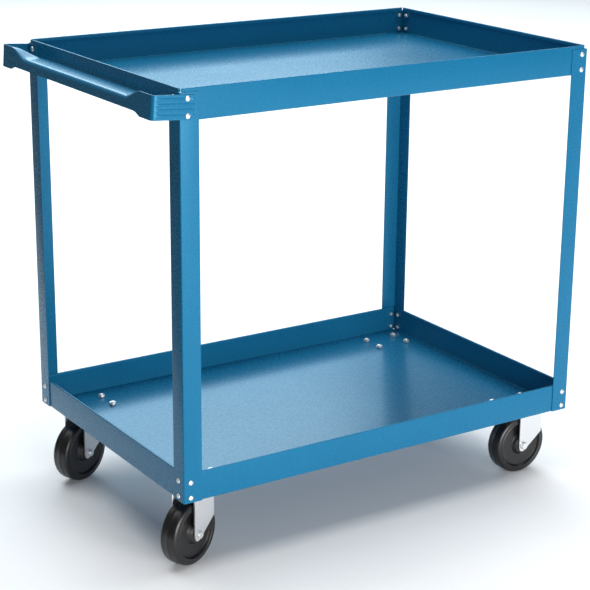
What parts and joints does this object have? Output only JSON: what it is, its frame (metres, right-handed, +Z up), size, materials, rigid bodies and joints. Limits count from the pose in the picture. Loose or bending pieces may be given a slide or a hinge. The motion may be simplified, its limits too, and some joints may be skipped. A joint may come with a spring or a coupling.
{
  "type": "stock cart",
  "caption": "Steel stock cart: two flanged tray shelves on angle legs, a push handle at one end, swivel casters under the handle and rigid casters at the far end.",
  "frame": {"origin": "on the floor, under the middle of the whole cart", "axes": "+X along the cart away from the push handle, +Y to a pusher's left, +Z up"},
  "size_m": [0.973, 0.622, 0.912],
  "materials": {
    "blue_enamel": "satin baked enamel on sheet steel",
    "zinc_fastener": "bright zinc plate",
    "zinc_caster": "bright zinc plate on pressed steel",
    "black_wheel": "moulded hard black, semi-gloss",
    "bearing_steel": "polished hardened steel",
    "sintered_bush": "oiled sintered bronze"
  },
  "bodies": {
    "cart_frame": {"upper_tray": "blue_enamel", "lower_tray": "blue_enamel", "push_handle": "blue_enamel", "rear_left_leg": "blue_enamel", "rear_right_leg": "blue_enamel", "front_left_leg": "blue_enamel", "front_right_leg": "blue_enamel", "leg_bolts": "zinc_fastener", "leg_nuts": "zinc_fastener", "handle_bolts": "zinc_fastener", "handle_nuts": "zinc_fastener", "caster_bolts": "zinc_fastener", "caster_nuts": "zinc_fastener", "rear_left_caster_plate": "zinc_caster", "rear_left_kingpin": "zinc_caster", "rear_left_lower_race": "zinc_caster", "rear_right_caster_plate": "zinc_caster", "rear_right_kingpin": "zinc_caster", "rear_right_lower_race": "zinc_caster", "front_left_caster_plate": "zinc_caster", "front_left_fork": "zinc_caster", "front_left_axle_bolt": "zinc_fastener", "front_left_axle_nut": "zinc_fastener", "front_left_axle_sleeve": "bearing_steel", "front_right_caster_plate": "zinc_caster", "front_right_fork": "zinc_caster", "front_right_axle_bolt": "zinc_fastener", "front_right_axle_nut": "zinc_fastener", "front_right_axle_sleeve": "bearing_steel"},
    "rear_left_swivel": {"rear_left_fork": "zinc_caster", "rear_left_axle_bolt": "zinc_fastener", "rear_left_axle_nut": "zinc_fastener", "rear_left_axle_sleeve": "bearing_steel", "rear_left_upper_balls": "bearing_steel", "rear_left_lower_balls": "bearing_steel"},
    "rear_left_wheel": {"rear_left_wheel": "black_wheel", "rear_left_wheel_bushing": "sintered_bush"},
    "rear_right_swivel": {"rear_right_fork": "zinc_caster", "rear_right_axle_bolt": "zinc_fastener", "rear_right_axle_nut": "zinc_fastener", "rear_right_axle_sleeve": "bearing_steel", "rear_right_upper_balls": "bearing_steel", "rear_right_lower_balls": "bearing_steel"},
    "rear_right_wheel": {"rear_right_wheel": "black_wheel", "rear_right_wheel_bushing": "sintered_bush"},
    "front_left_wheel": {"front_left_wheel": "black_wheel", "front_left_wheel_bushing": "sintered_bush"},
    "front_right_wheel": {"front_right_wheel": "black_wheel", "front_right_wheel_bushing": "sintered_bush"}
  },
  "joints": [
    {"name": "rear_left_swivel_turn", "type": "hinge", "parent": "cart_frame", "child": "rear_left_swivel", "pos_m": [-0.3535, 0.23, 0.15], "axis": [0, 0, 1], "continuous": true},
    {"name": "rear_left_wheel_spin", "type": "hinge", "parent": "rear_left_swivel", "child": "rear_left_wheel", "pos_m": [-0.3892, 0.21558, 0.0635], "axis": [-0.3746, 0.9272, 0], "continuous": true},
    {"name": "rear_right_swivel_turn", "type": "hinge", "parent": "cart_frame", "child": "rear_right_swivel", "pos_m": [-0.3535, -0.23, 0.15], "axis": [0, 0, 1], "continuous": true},
    {"name": "rear_right_wheel_spin", "type": "hinge", "parent": "rear_right_swivel", "child": "rear_right_wheel", "pos_m": [-0.3892, -0.24442, 0.0635], "axis": [-0.3746, 0.9272, 0], "continuous": true},
    {"name": "front_left_wheel_spin", "type": "hinge", "parent": "cart_frame", "child": "front_left_wheel", "pos_m": [0.4155, 0.23, 0.0635], "axis": [0, 1, 0], "continuous": true},
    {"name": "front_right_wheel_spin", "type": "hinge", "parent": "cart_frame", "child": "front_right_wheel", "pos_m": [0.4155, -0.23, 0.0635], "axis": [0, 1, 0], "continuous": true}
  ]
}
